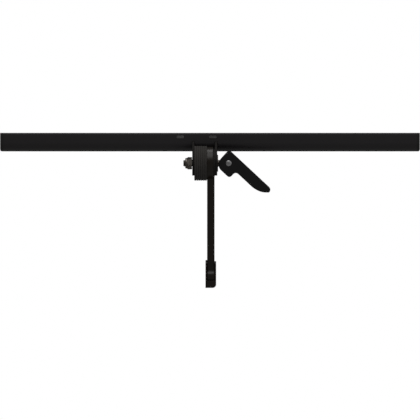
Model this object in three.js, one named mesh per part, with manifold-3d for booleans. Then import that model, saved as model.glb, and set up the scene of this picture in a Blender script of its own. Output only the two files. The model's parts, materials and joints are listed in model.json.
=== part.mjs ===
// A slim bar picture light on a short upright arm. The bar tilts on a clamped hinge with a cam
// lever, and the arm swings in a fork foot that is screwed down. Millimetres, +Z up, +X along
// the bar. The origin is the middle of the foot's flat underside.
import * as THREE from "three";
import { mergeVertices } from "three/addons/utils/BufferGeometryUtils.js";
import Module from "manifold-3d";

const wasm = await Module();
wasm.setup();

// ---- Driving dimensions ----

const gap = 0.3; // between pieces that lie against each other
const runningGap = 0.15; // radial, between a shaft and its hole
const washerGap = 0.1; // between a washer and the flat face it lies on
const roundSides = 28; // facets of a full circle

// Bar: an extruded housing, open at the back for the diffuser
const barLength = 500;
const barDepth = 22;
const barHeight = 22.1;
const barCentreX = -0.95; // the bar's middle lies a little left of the arm
const barFrontY = 15.4; // in front of it the hinge drum turns
const barBottomZ = 14.1; // above the hinge axis
const barWall = 1.8;
const barNoseRadius = 10; // lower front edge
const barTopBevel = 0.8;
const barBackRadius = 1.5;

// What the housing carries inside
const diffuserThickness = 1.8;
const lipThickness = 0.8; // behind the diffuser's edges
const lipReach = 2.9;
const grooveReach = 0.9; // how far the diffuser goes into the side walls
const railReach = 2.5; // rails that stand in from the side walls
const railThickness = 1.7;
const railRibReach = 1.2; // thin ribs that hold the boards against the rails
const railRibThickness = 1;
const driverChamber = 8.4; // from the front wall to the rails
const ledBoardThickness = 1.6;
const ledBoardInset = 6; // shorter than the housing, at each end
const ledCount = 12;
const ledPitch = 38;
const ledSize = 5;
const ledThickness = 1.2;
const driverBoardLength = 75;
const driverBoardThickness = 1.6;
const driverToEnd = 22; // from the housing's right end
const leadRadius = 0.7;
const linkPinRadius = 0.5;
const linkPinPlace = 4; // places are from the driver board's left end
const linkPinPitch = 2.54;
const driverInset = 0.6; // above the housing's rounded lower wall
const coilPlace = 14;
const coilSize = [12, 3.6, 8];
const canPlace = 32;
const canRadius = 3.6;
const canHeight = 3.8;
const chipPlace = 46;
const chipSize = [6, 1.4, 5];

// End caps
const capThickness = 4;
const capCornerRadius = 2.7;
const capPlugLength = 11;
const capScrewSpacing = 5.2;
const capScrewRadius = 1.1;
const capScrewHeadRadius = 2.1;
const capScrewLength = 6;

// Power inlet in the right end cap
const inletRadius = 3.8;
const inletFlangeRadius = 4.8;
const inletFlangeThickness = 1.6;
const inletBodyLength = 14;
const inletSocketRadius = 2.8;
const inletSocketDepth = 9;
const inletContactRadius = 1;

// Two plugged slots in the bar's face
const plugXs = [-36.35, 2.35];
const plugLength = 9.5;
const plugHeight = 3.5;
const plugBelowTop = 5;
const plugProud = 0.4;
const plugLip = 1; // inside the wall

// Hinge stack along X, from the lock nut to the lever
const armWidth = 8.85;
const armLeftX = -4.4;
const upperEyeWidth = 7.05;
const upperEyeRadius = 19.5;
const upperEyeBevel = 0.8;
const drumRadius = 20.6;
const drumWidth = 14.65;
const drumRibs = 6;
const drumGrooveDepth = 0.6;
const drumGrooveWidth = 0.8;
const leftCheekThickness = 2.5;
const rightCheekThickness = 2.95;
const cheekRadius = 14.7;
const drumWasherRadius = 18.4;
const drumWasherThickness = 1.3;
const cheekWasherRadius = 15.7; // clear of the arm's shoulder
const camWasherRadius = 10;
const camWasherThickness = 0.9;
const boltRadius = 4;
const boltTipBevel = 0.7;
const boltTipLength = 1.4;
const boltBeyondNut = 2.2;
const nutAcrossFlats = 13;
const nutHeight = 8;
const nutCollarWall = 0.8;
const nutCollarHeight = 2.2;
const nutTurn = 0.12; // radians off flats level
const nutBevel = 1;
const nylonThickness = 1.6;
const nylonWall = 1.05;
const nylonInset = 0.6; // from the nut's outer end
const bushWall = 1.4;

// Yoke bracket: a plate inside the bar, with two cheeks that come out through slots
const yokePlateThickness = 2;
const yokePlateTop = 28.6;
const yokePlateBottom = 22.4;
const yokePlateOverhang = 14;
const yokeScrewRadius = 1.5;
const yokeScrewHeadRadius = 2.8;
const yokeScrewHeadHeight = 1.8;
const yokeScrewInWall = 1.2;

// Arm and foot
const hingeHeight = 148.4;
const footPinHeight = 13.8;
const lowerEyeRadius = 8.6;
const armDepthTop = 14;
const armDepthBottom = 9.1;
const armShoulder = 16.2; // below the hinge axis, where the full width starts
const footWidth = 12.7;
const footDepth = 17.8;
const footHeight = 33.2;
const footShortWallDrop = 1.4;
const footFloor = 4.8;
const footBendRadius = 4.2;
const footTopRadius = 6;
const footPinRadius = 3;
const footPinHeadRadius = 4.1;
const footPinHeadDepth = 0.9;
const footHoleRadius = 1.65;
const footHoleSpacing = 11.2;

// Cam lever
const leverRestAngle = THREE.MathUtils.degToRad(43); // below +X
const camClosed = 12.3; // from the pin to the cam's side face
const camOpen = 10.7; // from the pin to the lever's end face
const camPower = 2.3; // 2 is a quarter ellipse, and more fills its corner
const camSlack = 0.2; // left at the washer with the lever closed
const leverBack = 12.3; // from the pin to the outer face
const leverHead = 12.9; // from the pin to the notch
const leverLength = 58.9; // from the pin to the tip
const leverWidth = 14.6;
const leverInner = -1.6; // inner face of the handle, across from the pin
const leverStraight = 40.3; // where the inner face starts to curve
const leverTipRadius = 5;
const leverHeadRound = 4.1;
const leverNotchRound = 4.8;
const leverEdge = 0.9;
const leverPinRadius = 3;
const leverPinHeadRadius = 3.6;
const leverPinHeadHeight = 0.9;
const boltEyeWall = 2.6;

// ---- Places that follow from them ----

const barBackY = barFrontY + barDepth;
const barTopZ = barBottomZ + barHeight;
const barMidZ = barBottomZ + barHeight / 2;
const barLeftX = barCentreX - barLength / 2;
const barRightX = barCentreX + barLength / 2;
const housingLeftX = barLeftX + capThickness;
const housingRightX = barRightX - capThickness;
const wallTopZ = barTopZ - barWall;
const wallBottomZ = barBottomZ + barWall;
const railFrontY = barFrontY + barWall + driverChamber;
const railBackY = railFrontY + railThickness;
const diffuserBackY = barBackY - lipThickness - gap;
const ledBoardBackY = railBackY + gap + ledBoardThickness;
const driverBackY = railFrontY - gap;
const driverFrontY = driverBackY - driverBoardThickness;
const driverRightX = housingRightX - driverToEnd;
const driverLeftX = driverRightX - driverBoardLength;

const eyeRightX = armLeftX + upperEyeWidth;
const armRightX = armLeftX + armWidth;
const drumRightX = armLeftX - gap;
const drumLeftX = drumRightX - drumWidth;
const leftCheekInX = drumLeftX - gap;
const leftCheekOutX = leftCheekInX - leftCheekThickness;
const nutRightX = leftCheekOutX - gap;
const nutLeftX = nutRightX - nutHeight;
const boltLeftX = nutLeftX - boltBeyondNut;
const rightCheekInX = armRightX + gap;
const rightCheekOutX = rightCheekInX + rightCheekThickness;
const camWasherX = rightCheekOutX + washerGap;
const leverPinX = camWasherX + camWasherThickness + camClosed + camSlack;
const boltHole = boltRadius + gap;
const boltBore = boltRadius + runningGap;
const boltEyeRadius = leverPinRadius + boltEyeWall;
const boltEyeWidth = 2 * boltRadius;
const nylonOuterRadius = boltBore + nylonWall;
const nutCollarRadius = nylonOuterRadius + nutCollarWall;
const yokePlateFrontY = barFrontY + barWall + gap;
const yokePlateBackY = yokePlateFrontY + yokePlateThickness;
const armDrop = hingeHeight - footPinHeight;

// ---- Making solids ----

// A closed geometry as a manifold solid, turned to face out where its outline ran backwards.
function solid(geometry) {
  const bare = geometry.index ? geometry.toNonIndexed() : geometry.clone();
  bare.deleteAttribute("normal");
  bare.deleteAttribute("uv");
  const merged = mergeVertices(bare, 1e-4);
  const corners = merged.index.array;
  const faces = [];
  for (let i = 0; i < corners.length; i += 3) {
    const [a, b, c] = corners.slice(i, i + 3);
    if (a !== b && b !== c && c !== a) faces.push(a, b, c);
  }
  const points = merged.attributes.position.array;
  const made = fromFaces(points, faces);
  return made.volume() < 0 ? fromFaces(points, faces.reverse()) : made;
}

function fromFaces(points, faces) {
  const triVerts = new Uint32Array(faces);
  return new wasm.Manifold(new wasm.Mesh({ numProp: 3, vertProperties: points, triVerts }));
}

function box(x0, x1, y0, y1, z0, z1) {
  const made = new THREE.BoxGeometry(x1 - x0, y1 - y0, z1 - z0);
  return solid(made.translate((x0 + x1) / 2, (y0 + y1) / 2, (z0 + z1) / 2));
}

const flat = { bevelEnabled: false, curveSegments: 7 };

// A shape drawn in (Y, Z), run from x0 to x1.
function alongX(shape, x0, x1) {
  const made = new THREE.ExtrudeGeometry(shape, { ...flat, depth: x1 - x0 });
  const turn = new THREE.Matrix4().set(0, 0, 1, x0, 1, 0, 0, 0, 0, 1, 0, 0, 0, 0, 0, 1);
  return solid(made.applyMatrix4(turn));
}

// A shape drawn in (X, Z), run from y0 to y1.
function alongY(shape, y0, y1) {
  const made = new THREE.ExtrudeGeometry(shape, { ...flat, depth: y1 - y0 });
  return solid(made.rotateX(Math.PI / 2).translate(0, y1, 0));
}

// A closed profile of [place along the axis, radius] points, turned about X, Y or Z.
function turned(axis, profile, sides = roundSides) {
  const ends = profile.map(([along, radius]) => new THREE.Vector2(radius, along));
  const closed = profile[0][1] > 0 ? [...ends, ends[0]] : ends;
  const made = new THREE.LatheGeometry(closed, sides);
  if (axis === "x") made.rotateZ(-Math.PI / 2);
  if (axis === "z") made.rotateX(Math.PI / 2);
  return solid(made);
}

const rod = (axis, from, to, radius, sides) =>
  turned(axis, [[from, 0], [from, radius], [to, radius], [to, 0]], sides);

const ring = (axis, from, to, inner, outer, sides) =>
  turned(axis, [[from, inner], [from, outer], [to, outer], [to, inner]], sides);

const moved = (made, x, y, z) => made.translate([x, y, z]);

// ---- Materials ----

const finish = (color, roughness, metalness) =>
  new THREE.MeshStandardMaterial({ color, roughness, metalness });
const finishes = {
  blackAluminium: finish(0x1c1a1c, 0.5, 0.3),
  blackSteel: finish(0x171614, 0.45, 0.3),
  blackPlastic: finish(0x141414, 0.55, 0),
  ribbedRubber: finish(0x2a2927, 0.85, 0),
  zincSteel: finish(0x8d8a84, 0.35, 0.9),
  darkSteel: finish(0x2b2926, 0.35, 0.8),
  brightSteel: finish(0xa8a8a6, 0.25, 0.95),
  greyPlastic: finish(0x5a5759, 0.6, 0),
  opal: finish(0xf2f1ec, 0.4, 0),
  board: finish(0xe9e9e4, 0.5, 0),
  circuit: finish(0x1e4a32, 0.5, 0),
  phosphor: finish(0xf0d070, 0.4, 0),
  bronze: finish(0x9a7442, 0.4, 0.8),
  nylon: finish(0x3a5f8c, 0.5, 0),
  copper: finish(0x8c4a2a, 0.5, 0.6),
  redSleeve: finish(0x8f1d18, 0.5, 0),
  blackSleeve: finish(0x101010, 0.5, 0),
};

const root = new THREE.Group();
const arm = new THREE.Group();
const lamp = new THREE.Group();
const lever = new THREE.Group();
arm.position.z = hingeHeight;
lamp.position.z = hingeHeight;
lever.position.x = leverPinX;
lever.rotation.y = leverRestAngle;
root.add(arm, lamp);
lamp.add(lever);

function piece(group, name, made, material) {
  const { vertProperties, triVerts } = made.getMesh();
  const geometry = new THREE.BufferGeometry();
  geometry.setAttribute("position", new THREE.BufferAttribute(vertProperties, 3));
  geometry.setIndex(new THREE.BufferAttribute(triVerts, 1));
  const smooth = geometry.toNonIndexed();
  smooth.computeVertexNormals();
  const mesh = new THREE.Mesh(smooth, material);
  mesh.name = name;
  group.add(mesh);
}

// ---- Foot: a fork with a flat base, and the pin that the arm swings on ----

function footOutline() {
  const half = footWidth / 2;
  const shape = new THREE.Shape();
  shape.moveTo(-half, 0);
  shape.lineTo(half - footBendRadius, 0);
  shape.absarc(half - footBendRadius, footBendRadius, footBendRadius, -Math.PI / 2, 0);
  shape.lineTo(half, footHeight - footShortWallDrop);
  shape.lineTo(0, footHeight - footShortWallDrop);
  shape.lineTo(0, footHeight);
  shape.lineTo(-half, footHeight);
  return shape;
}

// The same fork seen from its side, with its upper corners rounded.
function footSide() {
  const half = footDepth / 2;
  const shape = new THREE.Shape();
  shape.moveTo(-half, 0);
  shape.lineTo(half, 0);
  shape.lineTo(half, footHeight - footTopRadius);
  shape.absarc(half - footTopRadius, footHeight - footTopRadius, footTopRadius, 0, Math.PI / 2);
  shape.absarc(footTopRadius - half, footHeight - footTopRadius, footTopRadius, Math.PI / 2, Math.PI);
  return shape;
}

// The pin with a countersunk head at each end, or, grown, the hole that it needs.
function footPin(grow) {
  const flush = footWidth / 2 - washerGap;
  const neck = footWidth / 2 - footPinHeadDepth;
  const head = footPinHeadRadius + grow;
  const end = grow ? flush + 1 : flush;
  const half = [[neck, footPinRadius + grow], [flush, head], [end, head], [end, 0]];
  if (!grow) half.splice(2, 1);
  const mirrored = half.map(([along, radius]) => [-along, radius]).reverse();
  return moved(turned("x", [...mirrored, ...half]), 0, 0, footPinHeight);
}

function makeFoot() {
  const block = alongY(footOutline(), -footDepth / 2, footDepth / 2);
  const side = alongX(footSide(), -footWidth, footWidth);
  const slot = box(armLeftX - gap, armRightX + gap, -footDepth, footDepth, footFloor, footHeight + 1);
  let fork = block.intersect(side).subtract(slot).subtract(footPin(runningGap));
  for (const y of [-footHoleSpacing / 2, footHoleSpacing / 2]) {
    fork = fork.subtract(moved(rod("z", -1, footFloor + 1, footHoleRadius, 20), 0, y, 0));
  }
  piece(root, "foot_fork", fork, finishes.blackSteel);
  piece(root, "foot_pin", footPin(0), finishes.darkSteel);
}

// ---- Arm: a bar with a wide eye at the hinge and a small one in the foot ----

function armOutline() {
  const foot = -armDrop;
  const half = armDepthBottom / 2;
  const meet = Math.asin(half / lowerEyeRadius);
  const shape = new THREE.Shape();
  shape.moveTo(armDepthTop / 2, -armShoulder);
  shape.lineTo(-armDepthTop / 2, -armShoulder);
  shape.lineTo(-half, foot + lowerEyeRadius * Math.cos(meet));
  shape.absarc(0, foot, lowerEyeRadius, Math.PI / 2 + meet, Math.PI / 2 - meet + 2 * Math.PI);
  return shape;
}

function makeArm() {
  const bevel = upperEyeBevel;
  const rim = upperEyeRadius;
  const bore = boltBore + bushWall + runningGap;
  const eye = turned("x", [
    [armLeftX, bore],
    [armLeftX, rim - bevel],
    [armLeftX + bevel, rim],
    [eyeRightX - bevel, rim],
    [eyeRightX, rim - bevel],
    [eyeRightX, bore],
  ], 40);
  const footBore = footPinRadius + runningGap + bushWall + runningGap;
  const lowerHole = moved(rod("x", armLeftX - 1, armRightX + 1, footBore), 0, 0, -armDrop);
  const bar = alongX(armOutline(), armLeftX, armRightX).subtract(lowerHole);
  piece(arm, "arm", bar.add(eye), finishes.blackSteel);
  const hingeBush = ring("x", armLeftX + washerGap, eyeRightX - washerGap, boltBore, bore - runningGap);
  piece(arm, "hinge_bush", hingeBush, finishes.bronze);
  const inner = footPinRadius + runningGap;
  const footBush = ring("x", armLeftX + washerGap, armRightX - washerGap, inner, footBore - runningGap);
  piece(arm, "foot_bush", moved(footBush, 0, 0, -armDrop), finishes.bronze);
}

// ---- Bar housing and what it holds ----

// The bar's section in (Y, Z), drawn smaller by the inset on the front, top and bottom.
function barSection(inset, backY) {
  const nose = barNoseRadius - inset;
  const front = barFrontY + inset;
  const bottom = barBottomZ + inset;
  const top = barTopZ - inset;
  const bevel = inset ? 0.2 : barTopBevel;
  const round = barBackRadius;
  const shape = new THREE.Shape();
  shape.moveTo(front, bottom + nose);
  shape.absarc(front + nose, bottom + nose, nose, Math.PI, 1.5 * Math.PI);
  if (inset) {
    shape.lineTo(backY, bottom);
    shape.lineTo(backY, top);
  } else {
    shape.absarc(backY - round, bottom + round, round, -Math.PI / 2, 0);
    shape.absarc(backY - round, top - round, round, 0, Math.PI / 2);
  }
  shape.lineTo(front + bevel, top);
  shape.lineTo(front, top - bevel);
  return shape;
}

function plugOutline(grow) {
  const half = plugHeight / 2 + grow;
  const run = plugLength / 2 - plugHeight / 2;
  const shape = new THREE.Shape();
  shape.absarc(run, 0, half, -Math.PI / 2, Math.PI / 2);
  shape.absarc(-run, 0, half, Math.PI / 2, 1.5 * Math.PI);
  return shape;
}

// A cheek's outline in (Y, Z): round at the hinge, straight to the plate inside the bar.
function cheekOutline(grow) {
  const r = cheekRadius + grow;
  const y = yokePlateBackY + grow;
  const tangent = (z, side) => Math.atan2(z, y) + side * Math.acos(r / Math.hypot(y, z));
  const top = yokePlateTop + grow;
  const bottom = yokePlateBottom - grow;
  const shape = new THREE.Shape();
  shape.absarc(0, 0, r, tangent(top, 1), tangent(bottom, -1) + 2 * Math.PI);
  shape.lineTo(y, bottom);
  shape.lineTo(y, top);
  return shape;
}

const cheeks = [[leftCheekOutX, leftCheekInX], [rightCheekInX, rightCheekOutX]];
const yokeScrewXs = [leftCheekOutX - yokePlateOverhang / 2, rightCheekOutX + yokePlateOverhang / 2];
const yokeMidZ = (yokePlateTop + yokePlateBottom) / 2;
const capScrewXs = [barLeftX, barRightX].flatMap((end) => {
  const inward = end < 0 ? 1 : -1;
  const middle = end + inward * (capThickness + capPlugLength / 2);
  return [middle - capScrewSpacing / 2, middle + capScrewSpacing / 2];
});
const capPlugFrontY = barFrontY + barWall + gap;
const capPlugBackY = railFrontY - gap;
const capPlugMidY = (capPlugFrontY + capPlugBackY) / 2;

function capScrew(grow) {
  const head = capScrewHeadRadius + grow;
  const shank = capScrewRadius + grow;
  const top = barTopZ - 0.1;
  const cone = top - (capScrewHeadRadius - capScrewRadius);
  const foot = top - capScrewLength - grow;
  const above = grow ? [[barTopZ + 1, head], [barTopZ + 1, 0]] : [[top, 0]];
  return turned("z", [[foot, 0], [foot, shank], [cone, shank], [top, head], ...above], 20);
}

function makeHousing() {
  const x0 = housingLeftX;
  const x1 = housingRightX;
  let shell = alongX(barSection(0, barBackY), x0, x1);
  shell = shell.subtract(alongX(barSection(barWall, barBackY - lipThickness), x0 - 1, x1 + 1));
  const throatLow = barBottomZ + lipReach;
  const throatHigh = barTopZ - lipReach;
  shell = shell.subtract(box(x0 - 1, x1 + 1, barBackY - 2, barBackY + 1, throatLow, throatHigh));
  const grooveLow = wallBottomZ - grooveReach;
  const grooveHigh = wallTopZ + grooveReach;
  const grooveFront = diffuserBackY - diffuserThickness - gap;
  const grooveBack = barBackY - lipThickness;
  shell = shell.subtract(box(x0 - 1, x1 + 1, grooveFront, grooveBack, grooveLow, grooveHigh));
  const rails = [
    [railFrontY, railBackY, railReach],
    [ledBoardBackY + gap, ledBoardBackY + gap + railRibThickness, railRibReach],
    [driverFrontY - gap - railRibThickness, driverFrontY - gap, railRibReach],
  ];
  for (const [y0, y1, reach] of rails) {
    shell = shell.add(box(x0, x1, y0, y1, wallTopZ - reach, wallTopZ + 0.5));
    shell = shell.add(box(x0, x1, y0, y1, wallBottomZ - 0.5, wallBottomZ + reach));
  }
  for (const [cheekLeft, cheekRight] of cheeks) {
    shell = shell.subtract(alongX(cheekOutline(gap), cheekLeft - gap, cheekRight + gap));
  }
  for (const x of plugXs) {
    const slot = alongY(plugOutline(gap / 2), barFrontY - 1, barFrontY + barWall + 1);
    shell = shell.subtract(moved(slot, x, 0, barTopZ - plugBelowTop));
  }
  for (const x of capScrewXs) {
    shell = shell.subtract(moved(capScrew(runningGap), x, capPlugMidY, 0));
  }
  for (const x of yokeScrewXs) {
    const from = yokePlateFrontY - gap - yokeScrewInWall - runningGap;
    const hole = rod("y", from, yokePlateFrontY, yokeScrewRadius + runningGap, 20);
    shell = shell.subtract(moved(hole, x, 0, yokeMidZ));
  }
  piece(lamp, "bar_housing", shell, finishes.blackAluminium);

  const wallInY = barFrontY + barWall;
  for (const [i, x] of plugXs.entries()) {
    const stem = alongY(plugOutline(-runningGap), barFrontY - plugProud, wallInY + plugLip);
    const lip = alongY(plugOutline(plugLip / 2), wallInY + runningGap, wallInY + plugLip);
    const plug = moved(stem.add(lip), x, 0, barTopZ - plugBelowTop);
    piece(lamp, `slot_plug_${i + 1}`, plug, finishes.greyPlastic);
  }
}

// The cap's outline in (X, Z), with its lower outer corner rounded.
function capOutline(outer, inward) {
  const r = capCornerRadius;
  const inner = outer + inward * (capThickness - washerGap);
  const shape = new THREE.Shape();
  shape.moveTo(inner, barBottomZ);
  shape.lineTo(outer + inward * r, barBottomZ);
  const last = inward > 0 ? -Math.PI : 0;
  shape.absarc(outer + inward * r, barBottomZ + r, r, -Math.PI / 2, last, inward > 0);
  shape.lineTo(outer, barTopZ);
  shape.lineTo(inner, barTopZ);
  return shape;
}

function makeEndCap(name, outer, inward) {
  const span = (from, to) => [outer + inward * from, outer + inward * to].sort((a, b) => a - b);
  const plate = alongX(barSection(0, barBackY), ...span(0, capThickness));
  const rounded = plate.intersect(alongY(capOutline(outer, inward), barFrontY - 1, barBackY + 1));
  const plugSpan = span(capThickness - 1, capThickness + capPlugLength);
  const low = wallBottomZ + railRibReach + gap;
  const high = wallTopZ - railRibReach - gap;
  const room = box(...plugSpan, capPlugFrontY, capPlugBackY, low, high);
  let cap = rounded.add(alongX(barSection(barWall + gap, barBackY), ...plugSpan).intersect(room));
  for (const x of capScrewXs) {
    cap = cap.subtract(moved(capScrew(runningGap), x, capPlugMidY, 0));
  }
  if (inward < 0) cap = cap.subtract(inletPocket());
  piece(lamp, name, cap, finishes.blackPlastic);
}

// ---- Power inlet ----

const inletY = capPlugMidY;
const inletZ = barMidZ - 0.6;
const inletMouthX = barRightX - 0.4;

function inletPocket() {
  const flange = inletFlangeRadius + runningGap;
  const body = inletRadius + runningGap;
  const floor = inletMouthX - inletFlangeThickness - runningGap;
  const back = barRightX - capThickness - capPlugLength - 1;
  const profile = [[back, 0], [back, body], [floor, body], [floor, flange], [barRightX + 1, flange]];
  return moved(turned("x", [...profile, [barRightX + 1, 0]], 28), 0, inletY, inletZ);
}

function makeInlet() {
  const flangeX = inletMouthX - inletFlangeThickness;
  const back = flangeX - inletBodyLength;
  const floor = inletMouthX - inletSocketDepth;
  const body = turned("x", [
    [back, 0],
    [back, inletRadius],
    [flangeX, inletRadius],
    [flangeX, inletFlangeRadius],
    [inletMouthX, inletFlangeRadius],
    [inletMouthX, inletSocketRadius],
    [floor, inletSocketRadius],
    [floor, inletContactRadius],
    [inletMouthX - 1, inletContactRadius],
    [inletMouthX - 0.5, 0],
  ], 28);
  piece(lamp, "dc_inlet", moved(body, 0, inletY, inletZ), finishes.blackPlastic);
  const names = ["lead_positive", "lead_negative"];
  const sleeves = [finishes.redSleeve, finishes.blackSleeve];
  for (const [i, side] of [1, -1].entries()) {
    const start = new THREE.Vector3(back - gap, inletY, inletZ + side * 2);
    const end = new THREE.Vector3(driverRightX - 4, driverFrontY - gap - leadRadius, inletZ + side * 3);
    const path = new THREE.CatmullRomCurve3([
      start,
      start.clone().add(new THREE.Vector3(-3, 0, side * 0.4)),
      end.clone().add(new THREE.Vector3(3, -0.8, 0)),
      end,
    ]);
    const section = new THREE.Shape();
    section.absarc(0, 0, leadRadius, 0, 2 * Math.PI);
    const run = { steps: 14, bevelEnabled: false, curveSegments: 4, extrudePath: path };
    piece(lamp, names[i], solid(new THREE.ExtrudeGeometry(section, run)), sleeves[i]);
  }
}

// ---- Diffuser, boards and what is soldered to them ----

function makeLights() {
  const diffuserHalf = barHeight / 2 - barWall + grooveReach - gap;
  const diffuserFrontY = diffuserBackY - diffuserThickness;
  const fitX = [housingLeftX + gap, housingRightX - gap];
  const sheet = box(...fitX, diffuserFrontY, diffuserBackY, barMidZ - diffuserHalf, barMidZ + diffuserHalf);
  piece(lamp, "diffuser", sheet, finishes.opal);
  const low = wallBottomZ + gap;
  const high = wallTopZ - gap;
  const ledLeft = housingLeftX + ledBoardInset;
  const ledRight = housingRightX - ledBoardInset;
  const ledFront = railBackY + gap;
  piece(lamp, "led_board", box(ledLeft, ledRight, ledFront, ledBoardBackY, low, high), finishes.board);
  for (let i = 0; i < ledCount; i++) {
    const x = barCentreX + (i - (ledCount - 1) / 2) * ledPitch;
    const half = ledSize / 2;
    const back = ledBoardBackY + gap / 2;
    const chip = box(x - half, x + half, back, back + ledThickness, barMidZ - half, barMidZ + half);
    piece(lamp, `led_${String(i + 1).padStart(2, "0")}`, chip, finishes.phosphor);
  }

  const driver = box(driverLeftX, driverRightX, driverFrontY, driverBackY, low + driverInset, high);
  piece(lamp, "driver_board", driver, finishes.circuit);
  const face = driverFrontY - gap;
  const coilX = driverLeftX + coilPlace;
  const coil = centredBox(coilX, face, coilSize);
  piece(lamp, "driver_coil", coil, finishes.copper);
  const chip = centredBox(driverLeftX + chipPlace, face, chipSize);
  piece(lamp, "driver_chip", chip, finishes.blackPlastic);
  const can = rod("y", face - canHeight, face, canRadius, 24);
  piece(lamp, "driver_capacitor", moved(can, driverLeftX + canPlace, 0, barMidZ), finishes.blackPlastic);
  for (const i of [0, 1]) {
    const pin = rod("y", driverBackY + gap, railBackY + washerGap, linkPinRadius, 10);
    const x = driverLeftX + linkPinPlace + linkPinPitch * i;
    piece(lamp, `link_pin_${i + 1}`, moved(pin, x, 0, barMidZ), finishes.brightSteel);
  }
}

// A block on the driver board's face, as long, as deep and as high as size says.
function centredBox(x, face, [length, depth, height]) {
  const [run, rise] = [length / 2, height / 2];
  return box(x - run, x + run, face - depth, face, barMidZ - rise, barMidZ + rise);
}

// ---- Yoke bracket, drum and the clamping stack ----

function makeYoke() {
  const left = leftCheekOutX - yokePlateOverhang;
  const right = rightCheekOutX + yokePlateOverhang;
  let yoke = box(left, right, yokePlateFrontY, yokePlateBackY, yokePlateBottom, yokePlateTop);
  for (const [x0, x1] of cheeks) yoke = yoke.add(alongX(cheekOutline(0), x0, x1));
  yoke = yoke.subtract(rod("x", leftCheekOutX - 1, rightCheekOutX + 1, boltHole));
  for (const [i, x] of yokeScrewXs.entries()) {
    const shankFrom = yokePlateFrontY - gap - yokeScrewInWall;
    const headFrom = yokePlateBackY + gap / 2;
    const headTo = headFrom + yokeScrewHeadHeight;
    const hole = rod("y", yokePlateFrontY - 1, yokePlateBackY + 1, yokeScrewRadius + runningGap, 20);
    yoke = yoke.subtract(moved(hole, x, 0, yokeMidZ));
    const screw = turned("y", [
      [shankFrom, 0],
      [shankFrom, yokeScrewRadius],
      [headFrom, yokeScrewRadius],
      [headFrom, yokeScrewHeadRadius],
      [headTo - 0.5, yokeScrewHeadRadius],
      [headTo, yokeScrewHeadRadius - 0.5],
      [headTo, 0],
    ], 20);
    piece(lamp, `bracket_screw_${i + 1}`, moved(screw, x, 0, yokeMidZ), finishes.zincSteel);
  }
  piece(lamp, "yoke_bracket", yoke, finishes.blackSteel);
}

function makeDrum() {
  const recess = drumWasherThickness + gap;
  const pitch = drumWidth / drumRibs;
  const profile = [[drumLeftX, boltHole], [drumLeftX, drumRadius - drumGrooveDepth]];
  profile.push([drumLeftX + drumGrooveDepth, drumRadius]);
  for (let i = 1; i < drumRibs; i++) {
    const x = drumLeftX + i * pitch;
    profile.push([x - drumGrooveWidth / 2, drumRadius]);
    profile.push([x, drumRadius - drumGrooveDepth]);
    profile.push([x + drumGrooveWidth / 2, drumRadius]);
  }
  profile.push([drumRightX - drumGrooveDepth, drumRadius]);
  profile.push([drumRightX, drumRadius - drumGrooveDepth]);
  profile.push([drumRightX, drumWasherRadius + gap]);
  profile.push([drumRightX - recess, drumWasherRadius + gap]);
  profile.push([drumRightX - recess, boltHole]);
  piece(lamp, "hinge_drum", turned("x", profile, 40), finishes.ribbedRubber);
  const drumWasherX = [armLeftX - runningGap - drumWasherThickness, armLeftX - runningGap];
  const cheekWasherX = [eyeRightX + runningGap, rightCheekInX - runningGap];
  const drumWasher = ring("x", ...drumWasherX, boltHole, drumWasherRadius);
  const cheekWasher = ring("x", ...cheekWasherX, boltHole, cheekWasherRadius);
  piece(lamp, "drum_washer", drumWasher, finishes.darkSteel);
  piece(lamp, "cheek_washer", cheekWasher, finishes.darkSteel);
}

function makeClamp() {
  const neck = leverPinX - 3;
  const shank = turned("x", [
    [boltLeftX, 0],
    [boltLeftX, boltRadius - boltTipBevel],
    [boltLeftX + boltTipLength, boltRadius],
    [neck, boltRadius],
    [neck, 0],
  ]);
  const eye = moved(rod("y", -boltEyeWidth / 2, boltEyeWidth / 2, boltEyeRadius), leverPinX, 0, 0);
  const pinHole = rod("y", -boltEyeWidth, boltEyeWidth, leverPinRadius + runningGap);
  piece(lamp, "hinge_bolt", shank.add(eye).subtract(moved(pinHole, leverPinX, 0, 0)), finishes.zincSteel);

  const hexRadius = nutAcrossFlats / Math.sqrt(3);
  const hexLeft = nutLeftX + nutCollarHeight;
  const hex = new THREE.Shape([0, 1, 2, 3, 4, 5].map((i) => {
    const corner = nutTurn + Math.PI / 3 * i;
    return new THREE.Vector2(Math.cos(corner), Math.sin(corner)).multiplyScalar(hexRadius);
  }));
  const bevel = nutBevel;
  const round = turned("x", [
    [nutLeftX, 0],
    [nutLeftX, nutCollarRadius - bevel],
    [nutLeftX + bevel, nutCollarRadius],
    [hexLeft, nutCollarRadius],
    [hexLeft + bevel, hexRadius],
    [nutRightX - bevel / 2, hexRadius],
    [nutRightX, nutAcrossFlats / 2],
    [nutRightX, 0],
  ]);
  const prism = alongX(hex, hexLeft - 0.01, nutRightX).add(rod("x", nutLeftX, hexLeft, nutCollarRadius));
  let nut = prism.intersect(round).subtract(rod("x", nutLeftX - 1, nutRightX + 1, boltBore));
  const ringLeft = nutLeftX + nylonInset;
  const seatDepth = ringLeft + nylonThickness + runningGap;
  nut = nut.subtract(rod("x", nutLeftX - 1, seatDepth, nylonOuterRadius + runningGap));
  const lip = ring("x", nutLeftX, ringLeft - runningGap, boltBore + gap, nylonOuterRadius + gap);
  nut = nut.add(lip.intersect(round));
  piece(lamp, "lock_nut", nut, finishes.zincSteel);
  const nylon = ring("x", ringLeft, ringLeft + nylonThickness, boltBore, nylonOuterRadius);
  piece(lamp, "nylon_ring", nylon, finishes.nylon);
  const camWasher = ring("x", camWasherX, camWasherX + camWasherThickness, boltHole, camWasherRadius);
  piece(lamp, "cam_washer", camWasher, finishes.brightSteel);
}

// ---- Cam lever: drawn along +X from its pin, then turned to its rest angle ----

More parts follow.
